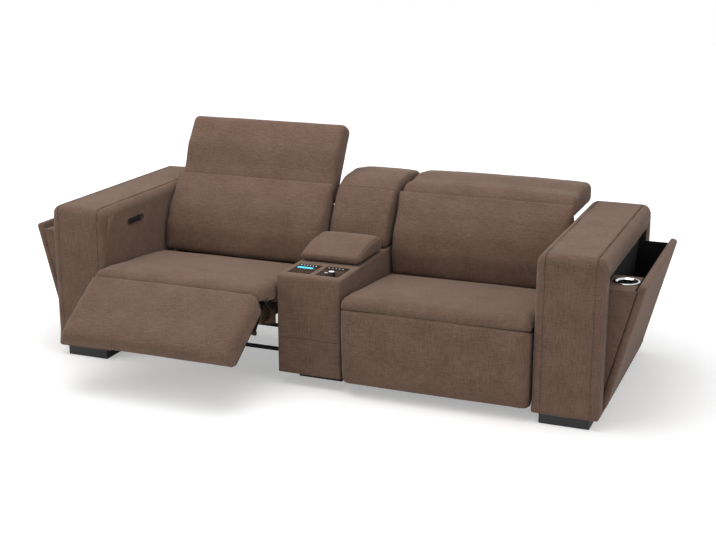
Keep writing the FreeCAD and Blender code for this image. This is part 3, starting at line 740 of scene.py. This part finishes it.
def dress(thing, material, body, node):
    """Finish, body and CAD node of a padded piece."""
    thing.data.materials.clear()
    thing.data.materials.append(material)
    smooth(thing)
    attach(thing, body)
    if node:
        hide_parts(node)


# %% [markdown]
# The seat cushion ends in front in a round roll whose middle is the footrest's hinge. The footrest
# pad starts right under that roll, so both look like one surface with a seam. A cushion gets its
# fill after its shape, and a faint unevenness last. Its ends are rounder at the top than below.

# %% Seat cushions
LOAF_STEP = 9.0
VOXEL = 0.0075
PRESSURE = 4.0
FILL_MOVE = 0.004


def cushion(name, ring, edge, crown, keep, unevenness, seed, low_x=CLOTH_IN, high_x=CLOTH_OUT):
    """Filled right-hand cushion between low_x and high_x."""
    thing = mesh_from_loaf(name, loaf_points(ring, low_x, high_x, edge, crown, LOAF_STEP, keep=keep))
    remesh(thing, VOXEL)
    stuff(thing, PRESSURE, FILL_MOVE)
    ripple(thing, unevenness, seed)
    return thing


seat_ring = rounded_outline(
    [(-17, 355), (-17, 404), (90, 405), (225, 394), (340, 384), (460, 372), (566, 353), (566, 298),
     (193, 298), (193, 336), (80, 336), (80, 355)],
    [14, 33, 300, 500, 500, 300, 22, 8, 8, 6, 8, 5], 7.0)
seat_crown = np.clip((seat_ring[:, 1] - 340) / 40, 0, 1) * 7.0
seat_high = np.clip((seat_ring[:, 1] - 345) / 15, 0, 1)
seat_edge = 8 + 26 * seat_high * np.clip((560 - seat_ring[:, 0]) / 80, 0, 1)
right_seat = cushion("right_seat_cushion_cover", seat_ring, seat_edge, seat_crown,
                     ("down", "rear"), 0.0007, 1)
print("seat outline", len(seat_ring), "points")

# %% [markdown]
# The footrest pad hangs under the roll when the seat is closed and swings out with the footrest.
# Its upper edge stays square, so it fits the roll at every angle.

# %% Footrest pads
pad_ring = rounded_outline(
    [(-18, 371), (-7, 354), (20, 353), (69, 351), (69, 68),
     (50, 46), (28, 43), (-4, 52), (-14, 110), (-20, 240)],
    [3, 8, 20, 5, 16, 14, 16, 30, 140, 300], 7.0)
pad_crown = np.clip((20 - pad_ring[:, 0]) / 20, 0, 1) * 6.0
pad_edge = 8 + 26 * np.clip((50 - pad_ring[:, 0]) / 50, 0, 1)
right_pad = cushion("right_footrest_cover", pad_ring, pad_edge, pad_crown,
                    ("up", "rear"), 0.0007, 2)
print("pad outline", len(pad_ring), "points")

# %% [markdown]
# The back cushion leans back in a long curve and thins towards its top, where the headrest turns
# on it. Its hollow rear edge leaves room for the headrest's roll.

# %% Back cushions
back_ring = rounded_outline(
    [(663, 348), (567, 348), (560, 455), (577, 545), (640, 657),
     (669, 700), (682, 697), (676, 650), (700, 610), (722, 602)],
    [6, 18, 160, 220, 160, 6, 4, 60, 50, 4], 7.0)
back_low = np.clip((690 - back_ring[:, 1]) / 60, 0, 1)
back_crown = back_low * np.clip((660 - back_ring[:, 0]) / 40, 0, 1) * 8.0
back_edge = 8 + 22 * np.clip((668 - back_ring[:, 0]) / 40, 0, 1)
right_back = cushion("right_back_cushion_cover", back_ring, back_edge, back_crown,
                     ("down", "rear"), 0.0008, 3)
print("back outline", len(back_ring), "points")

# %% [markdown]
# The headrest has a half-round roll about its own hinge, so it can fold from flat to upright
# without a gap opening to the back cushion.

# %% Headrests
head_ring = rounded_outline(
    [(HEAD[0] + y, HEAD[1] + z) for y, z in
     [(-61, -27), (-61, 61), (60, 61), (150, 75), (299, 59), (299, -27)]],
    [20, 60.5, 150, 200, 36, 28], 7.0)
head_high = np.clip((head_ring[:, 1] - 690) / 30, 0, 1)
head_crown = head_high * np.clip((head_ring[:, 0] - 720) / 60, 0, 1) * 7.0
right_head = cushion("right_headrest_cover", head_ring, 20.0, head_crown, (), 0.0008, 4,
                     SEAT_IN + 7.0, SEAT_OUT - 6.0)
print("headrest outline", len(head_ring), "points")

# %% [markdown]
# Each padded piece takes the place of its plain CAD solid and rides on that solid's body, so it
# moves with the joints. The left twins are made here, once the right-hand pieces are whole.

# %% Both sides of the seats
for thing, kind, body, node in ((right_seat, "seat", "seat", "seat_cushion"),
                                (right_pad, "leg", "footrest", "footrest_pad"),
                                (right_back, "back", "back", "back_cushion"),
                                (right_head, "head", "headrest", "headrest_cushion")):
    twin = mirrored_copy(thing, thing.name.replace("right_", "left_"), kind)
    dress(thing, COVER, "right_" + body, "right_" + node)
    dress(twin, COVER, "left_" + body, "left_" + node)
    print(thing.name, len(thing.data.polygons), "faces")

# %% [markdown]
# Recesses are cut out of the finished loaves as boxes, and some faces of a piece get a second
# finish, such as the lining inside a recess.

# %% Cuts and second finishes


def cut_box(thing, lo, hi):
    """Takes a box between two drawing corners out of a closed mesh, exactly."""
    mesh = bpy.data.meshes.new("cutter")
    xs, ys, zs = zip(*metres([lo, hi]))
    verts = [(x, y, z) for x in xs for y in ys for z in zs]
    mesh.from_pydata(verts, [], [(0, 1, 3, 2), (4, 6, 7, 5), (0, 4, 5, 1),
                                 (2, 3, 7, 6), (0, 2, 6, 4), (1, 5, 7, 3)])
    cutter = bpy.data.objects.new("cutter", mesh)
    scene.collection.objects.link(cutter)
    mod = thing.modifiers.new("cut", "BOOLEAN")
    mod.operation = "DIFFERENCE"
    mod.solver = "EXACT"
    mod.object = cutter
    bake(thing)
    bpy.data.objects.remove(cutter)
    bpy.data.meshes.remove(mesh)


def centres(thing):
    """Face centres in drawing millimetres with |x|, and the face normals."""
    mesh = thing.data
    c = np.empty(len(mesh.polygons) * 3)
    n = np.empty(len(mesh.polygons) * 3)
    mesh.polygons.foreach_get("center", c)
    mesh.polygons.foreach_get("normal", n)
    c = c.reshape(-1, 3) * 1000.0
    c[:, 1] -= FRONT_Y
    c[:, 0] = np.abs(c[:, 0])
    return c, n.reshape(-1, 3)


def second_finish(thing, material, chosen):
    """Gives the chosen faces a second material."""
    thing.data.materials.append(material)
    index = np.zeros(len(thing.data.polygons), np.int32)
    index[chosen] = 1
    thing.data.polygons.foreach_set("material_index", index)
    thing.data.update()


# %% [markdown]
# An arm is a firm foam block over a box frame. Its cover is one loaf whose ends are the arm's two
# sides, drawn in a little along the two seams of its top and front. A box cut takes out the recess
# for the tilting bin, whose walls are lined in black.

# %% Arms
ARM_SEAMS = (952.0, 1140.0)
SEAM_DEPTH = 1.3
RECESS_LOW = (1006, 73.6, 58.4)
RECESS_HIGH = (1300, 855.4, 577.6)
LINING_END = 1168
arm_ring = rounded_outline([(0, 41.5), (984, 41.5), (984, 660), (0, 660)], [8, 8, 38, 30], 10.0)
arm_edge = 10 + 14 * np.clip((arm_ring[:, 1] - 45) / 60, 0, 1)
arm_edge = arm_edge + 12 * np.clip((arm_ring[:, 1] - 560) / 90, 0, 1)
marks = [m + d for m in ARM_SEAMS for d in (-4.0, -2.2, -1.1, 0.0, 1.1, 2.2, 4.0)]
arm_grid = loaf_points(arm_ring, ARM_IN, ARM_OUT, arm_edge, 1.5, LOAF_STEP, marks)
sink = sum(np.exp(-((arm_grid[..., 0] - m) / 1.7) ** 2) for m in ARM_SEAMS)
arm_grid[..., 1:] -= outward(arm_ring)[None] * (SEAM_DEPTH * sink)[..., None]
right_arm = mesh_from_loaf("right_arm_upholstery", arm_grid)
face_out(right_arm)
ripple(right_arm, 0.0006, 5)
cut_box(right_arm, RECESS_LOW, RECESS_HIGH)
left_arm = mirrored_copy(right_arm, "left_arm_upholstery", None)
dress(right_arm, COVER, "base", "right_arm_cover")
dress(left_arm, COVER, "base", "left_arm_cover")
for arm in (right_arm, left_arm):
    c, n = centres(arm)
    wall = (c[:, 0] > RECESS_LOW[0] - 1) & (c[:, 0] < LINING_END)
    for k in (1, 2):
        wall &= (c[:, k] > RECESS_LOW[k] - 0.3) & (c[:, k] < RECESS_HIGH[k] + 0.3)
    second_finish(arm, LINING, wall)
    print(arm.name, int(wall.sum()), "lining faces")

# %% [markdown]
# The console is boxed in the same cloth. Its top has a recess for each of the two glass panels,
# the mouth of the store and two slots for the lid's hinges.

# %% Console
console_ring = rounded_outline([(24, 52), (970, 52), (970, 466), (24, 466)], [3, 3, 14, 12], 9.0)
console_points = loaf_points(console_ring, -CONSOLE, CONSOLE, 9.0, 0.4, LOAF_STEP)
console_cover = mesh_from_loaf("console_upholstery", console_points)
face_out(console_cover)
ripple(console_cover, 0.0003, 6)
cut_box(console_cover, (-112, 255, 250), (112, 484, 500))
cut_box(console_cover, (-107.3, 65.7, 450), (-10.7, 191.3, 500))
cut_box(console_cover, (13.7, 63.7, 450), (110.3, 192.3, 500))
for x in (-65, 65):
    cut_box(console_cover, (x - 9, 484, 446), (x + 9, 524, 500))
dress(console_cover, COVER, "base", "console_cover")
print("console cover", len(console_cover.data.polygons), "faces")

# %% [markdown]
# The padded lid lies over the mouth of the store, and behind it stands the console's own back
# cushion, a hump between the two seat backs. Both are a little narrower than the console.

# %% Lid and back of the console
LID_HALF = 134.5
lid_ring = rounded_outline([(237, 472), (237, 499), (330, 527), (450, 541), (505, 528), (505, 472)],
                           [9, 12, 300, 200, 24, 9], 6.0)
lid_crown = np.clip((lid_ring[:, 1] - 480) / 40, 0, 1) * 4.0
lid_points = loaf_points(lid_ring, -LID_HALF, LID_HALF, 18.0, lid_crown, 7.0)
lid = mesh_from_loaf("console_lid_cushion", lid_points)
remesh(lid, 0.006)
stuff(lid, PRESSURE, 0.002)
dress(lid, COVER, "console_lid", "console_lid_pad")

hump_ring = rounded_outline(
    [(537, 468), (535, 500), (566, 578), (612, 655), (655, 706),
     (720, 735), (850, 746), (996, 725), (996, 468)],
    [6, 60, 200, 200, 120, 160, 300, 40, 6], 7.0)
hump_crown = np.clip((hump_ring[:, 1] - 520) / 60, 0, 1) * 3.0
hump_points = loaf_points(hump_ring, -LID_HALF, LID_HALF, 14.0, hump_crown, 8.0)
hump = mesh_from_loaf("console_back_cushion", hump_points)
remesh(hump, VOXEL)
stuff(hump, PRESSURE, 0.002)
ripple(hump, 0.0006, 7)
dress(hump, COVER, "base", "console_back")
print("lid", len(lid.data.polygons), "and back", len(hump.data.polygons), "faces")

# %% [markdown]
# The tilting panel of a bin is a thin upholstered board, made upright and then tilted out about the
# axis of its piano hinge.

# %% Bin panels
BIN_AXIS = (1150.0, 62.0)
BIN_TILT = math.radians(14.4)


def tilt_out(thing):
    """Turns a right-hand piece about the hinge axis along Y so that its top goes outwards."""
    co = drawing_points(thing)
    x = co[:, 0] - BIN_AXIS[0]
    z = co[:, 2] - BIN_AXIS[1]
    co[:, 0] = BIN_AXIS[0] + x * math.cos(BIN_TILT) + z * math.sin(BIN_TILT)
    co[:, 2] = BIN_AXIS[1] - x * math.sin(BIN_TILT) + z * math.cos(BIN_TILT)
    write_points(thing, metres(co))


panel_ring = rounded_outline([(76.5, 68.5), (849.5, 68.5), (849.5, 575.5), (76.5, 575.5)],
                             [10, 34, 24, 10], 8.0)
panel_points = loaf_points(panel_ring, 1153.2, 1182.8, 12.0, 0.0, 5.0)
right_panel = mesh_from_loaf("right_bin_upholstery", panel_points)
face_out(right_panel)
tilt_out(right_panel)
left_panel = mirrored_copy(right_panel, "left_bin_upholstery", None)
dress(right_panel, COVER, "right_bin", "right_bin_panel")
dress(left_panel, COVER, "left_bin", "left_bin_panel")
print("bin panel", len(right_panel.data.polygons), "faces")

# %% [markdown]
# A seam joins two panels of cloth. It follows the surface, so its path is a few drawn points that
# are moved to the nearest place on the cover.

# %% Paths on a surface


def resample(path, step):
    """Points every step mm along a polyline (n, 3)."""
    path = np.array(path, float)
    run = np.concatenate([[0], np.cumsum(np.linalg.norm(np.diff(path, axis=0), axis=1))])
    at = np.linspace(0, run[-1], max(3, int(run[-1] / step)))
    return np.stack([np.interp(at, run, path[:, k]) for k in range(3)], 1)


def snapped(tree, points):
    """Nearest points on a surface and the normals there, both as arrays in metres."""
    hits = [tree.find_nearest(Vector(p)) for p in points]
    return np.array([h[0] for h in hits]), np.array([h[1] for h in hits])


def side_vectors(place, normal):
    """Unit tangent and unit side vector of a line that lies on a surface."""
    tangent = np.gradient(place, axis=0)
    tangent /= np.linalg.norm(tangent, axis=1)[:, None]
    side = np.cross(normal, tangent)
    side /= np.linalg.norm(side, axis=1)[:, None]
    return tangent, side


# %% [markdown]
# Where two panels meet, a dark strip shows, painted shade of the seam's groove. On the arms the seam
# is sewn down twice, so a row of short stitches runs on either side of that strip. A stitch is a slim
# grain with eight faces.

# %% Seams and stitches
SEAM_STEP = 5.0
STITCH_STEP = 7.5
GRAIN_FACES = ((0, 2, 4), (2, 1, 4), (1, 3, 4), (3, 0, 4), (2, 0, 5), (1, 2, 5), (3, 1, 5), (0, 3, 5))


def add_piece(name, verts, faces, material, body):
    """Mesh piece of the cover that rides on a body."""
    mesh = bpy.data.meshes.new(name)
    mesh.from_pydata(verts, [], faces)
    thing = bpy.data.objects.new(name, mesh)
    scene.collection.objects.link(thing)
    face_out(thing)
    mesh.materials.append(material)
    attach(thing, body)


def seam_bar(place, normal, side, half):
    """Points and faces of a bar with five corners per section, from 1 mm under the surface to
    0.12 mm over it at its sides and 0.28 mm over it in the middle. half is half its width."""
    ring = np.stack([place - side * half - normal * 0.001, place - side * half + normal * 0.00012,
                     place + normal * 0.00028, place + side * half + normal * 0.00012,
                     place + side * half - normal * 0.001], 1)
    count, cols = ring.shape[:2]
    faces = []
    for r in range(count - 1):
        for c in range(cols):
            d = (c + 1) % cols
            faces.append((r * cols + c, r * cols + d, (r + 1) * cols + d, (r + 1) * cols + c))
    faces.append(tuple(range(cols - 1, -1, -1)))
    faces.append(tuple(range((count - 1) * cols, count * cols)))
    return ring.reshape(-1, 3).tolist(), faces


def sewn_line(name, host, body, path, width=1.4, rows=(-4.5, 4.5)):
    """Seam of width mm along the path on the host, and a row of stitches, 4.6 mm long, at each
    offset in rows, in mm to the side."""
    mesh = host.data
    co = read_points(host)
    tree = BVHTree.FromPolygons([Vector(c) for c in co], [tuple(q.vertices) for q in mesh.polygons])
    place, normal = snapped(tree, metres(resample(path, SEAM_STEP)))
    side = side_vectors(place, normal)[1]
    verts, faces = seam_bar(place, normal, side, width / 2000.0)
    # The dark seam strip is painted shade, standing in for the shade in the groove.
    add_piece(name, verts, faces, SEAM_PAINTED_SHADE, body)
    if not rows:
        return
    base, up = snapped(tree, metres(resample(path, STITCH_STEP)))
    along, across = side_vectors(base, up)
    verts = []
    faces = []
    for off in rows:
        spot, rise = snapped(tree, base + across * off / 1000.0)
        for p, t, q, n in zip(spot, along, across, rise):
            k = len(verts)
            verts += [p - t * 0.0023, p + t * 0.0023, p + q * 0.0006, p - q * 0.0006,
                      p + n * 0.0007, p - n * 0.0004]
            faces += [(k + a, k + b, k + c) for a, b, c in GRAIN_FACES]
    add_piece(name + "_stitches", [tuple(v) for v in verts], faces, THREAD, body)


# %% [markdown]
# Two seams run over the front and the top of each arm, one round the front and the sides of the
# console, one over its back cushion and one along each side of its lid.

# %% Sewing
corner = [(38 - 38 * math.cos(a), 622 + 38 * math.sin(a)) for a in np.linspace(0, math.pi / 2, 9)]
for side, sign, arm in (("right", 1, right_arm), ("left", -1, left_arm)):
    for k, x in enumerate(ARM_SEAMS):
        path = [(sign * x, 0, 52)] + [(sign * x, y, z) for y, z in corner] + [(sign * x, 948, 661)]
        sewn_line("%s_arm_seam_%d" % (side, k + 1), arm, "base", path)
around = [(-CONSOLE, 950, 206), (-CONSOLE, 34, 206), (10 - CONSOLE, 24, 206),
          (CONSOLE - 10, 24, 206), (CONSOLE, 34, 206), (CONSOLE, 950, 206)]
sewn_line("console_front_seam", console_cover, "base", around, 1.8, ())
sewn_line("console_back_seam", hump, "base", [(-131, 652, 704), (131, 652, 704)], 1.6, (4.0,))
LID_SEAM = 124
lid_line = [(240, 498), (262, 507), (330, 524), (400, 534), (450, 538), (478, 535)]
for side, sign in (("left", -1), ("right", 1)):
    path = [(sign * LID_SEAM, y, z) for y, z in lid_line]
    sewn_line("console_lid_seam_" + side, lid, "console_lid", path, 1.4, ())

# %% [markdown]
# Behind the raised footrest the front rail of the seat is covered with the same cloth. It is left
# open in the middle, where the drive nut passes, and at the steel side plates.

# %% Covered front rail
RAIL_SPANS = ((145.0, 168.5), (196.5, 503.0), (552.0, 858.5), (886.5, 910.0))
rail_ring = rounded_outline([(229.5, 190), (235.8, 190), (235.8, 296.5), (229.5, 296.5)], [3.0] * 4, 3.0)
for side in ("right", "left"):
    for k, (x0, x1) in enumerate(RAIL_SPANS):
        rail = mesh_from_loaf("%s_rail_cover_%d" % (side, k + 1),
                              loaf_points(rail_ring, x0, x1, 3.0 * 0.8, 0.0, 25.0))
        face_out(rail)
        rail.data.materials.append(COVER)
        smooth(rail)
        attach(rail, side + "_seat")
        if side == "left":
            write_points(rail, metres(left_pose(drawing_points(rail), "seat")))
            face_out(rail)
print("rail covers", 2 * len(RAIL_SPANS))

# %% [markdown]
# The two glass panels in the console show plain signs only: a lit bar with a row of dots on the
# screen, and a disc with a row of dots on the charging pad. They are thin chips on the glass.

# %% Signs on the glass
GLASS_TOP = 467.9


def chip(name, outline, thick, material):
    """Flat chip on the glass: outline (n, 2) in x and y, thick mm high."""
    n = len(outline)
    low = np.c_[outline, np.full(n, GLASS_TOP)]
    high = np.c_[outline, np.full(n, GLASS_TOP + thick)]
    faces = [tuple(range(n - 1, -1, -1)), tuple(range(n, 2 * n))]
    faces += [(i, (i + 1) % n, n + (i + 1) % n, n + i) for i in range(n)]
    mesh = bpy.data.meshes.new(name)
    mesh.from_pydata(metres(np.vstack([low, high])).tolist(), [], faces)
    thing = bpy.data.objects.new(name, mesh)
    scene.collection.objects.link(thing)
    face_out(thing)
    mesh.materials.append(material)
    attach(thing, "base")


def disc(x, y, r, n=28):
    """Circle of n points."""
    a = np.linspace(0, 2 * math.pi, n, endpoint=False)
    return np.c_[x + r * np.cos(a), y + r * np.sin(a)]


def pill(x0, x1, y, r):
    """Bar with round ends along X."""
    a = np.linspace(-math.pi / 2, math.pi / 2, 9)
    right = np.c_[x1 - r + r * np.cos(a), y + r * np.sin(a)]
    left = np.c_[x0 + r - r * np.cos(a), y - r * np.sin(a)]
    return np.vstack([right, left])


chip("screen_bar", pill(-99, -29, 142, 9), 0.5, BLUE_LIGHT)
for i in range(6):
    chip("screen_dot_%d" % (i + 1), disc(-95 + 13 * i, 176, 3.0, 16), 0.45, WHITE_MARK)
for i in range(5):
    chip("pad_dot_%d" % (i + 1), disc(28 + 15 * i, 174, 2.6, 16), 0.45, WHITE_MARK)
chip("pad_disc", disc(57, 128, 11.0), 0.45, WHITE_MARK)
chip("pad_mark", pill(36, 52, 104, 2.6), 0.45, WHITE_MARK)
print("signs on the glass ready")

# %% [markdown]
# What the CAD already shapes right keeps its mesh and only gets its finish: the steel, wood and
# plastic pieces, most of them hidden under the cloth.

# %% Finishes of the carried-over nodes
KEPT = {
    "arm_frames": LINING, "block_feet": FOOT, "bin_hinge_mounts": ZINC, "control_panels": CHROME,
    "console_box": WOOD, "touch_screen": GLASS, "charging_pad": GLASS, "seat_bases": BLACK_STEEL,
    "console_lid_board": WOOD,
}
for side in ("left", "right"):
    KEPT[side + "_bin_box"] = LINING
    KEPT[side + "_bin_shelf"] = COVER
    KEPT[side + "_cup_holder"] = CHROME
    KEPT[side + "_bin_hinge"] = ZINC
    KEPT[side + "_seat_frame"] = WOOD
    KEPT[side + "_side_plates"] = ZINC
    KEPT[side + "_seat_springs"] = SPRING
    KEPT[side + "_drive_motor"] = BLACK_PLASTIC
    KEPT[side + "_drive_nut"] = ZINC
    KEPT[side + "_drive_tube"] = BLACK_STEEL
    KEPT[side + "_push_links"] = ZINC
    KEPT[side + "_footrest_frame"] = BLACK_STEEL
    KEPT[side + "_back_frame"] = WOOD
    KEPT[side + "_headrest_frame"] = WOOD
    for i in range(1, 5):
        KEPT[side + "_button_%d" % i] = BLACK_PLASTIC
for node, material in KEPT.items():
    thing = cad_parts[node]
    thing.data.materials.clear()
    thing.data.materials.append(material)
print("kept nodes", len(KEPT))

# %% [markdown]
# A control panel is a chrome rim round a sunk black plate. Both are one solid, so the plate and
# the walls of its holes are found by their place and get the black finish.

# %% Control panels
PLATE_X = 914.8
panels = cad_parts["control_panels"]
c, n = centres(panels)
plate = (np.abs(c[:, 0] - PLATE_X) < 0.12) | ((c[:, 0] > 915) & (np.abs(n[:, 0]) < 0.5))
second_finish(panels, BLACK_PLASTIC, plate)
print("dark plate faces", int(plate.sum()))
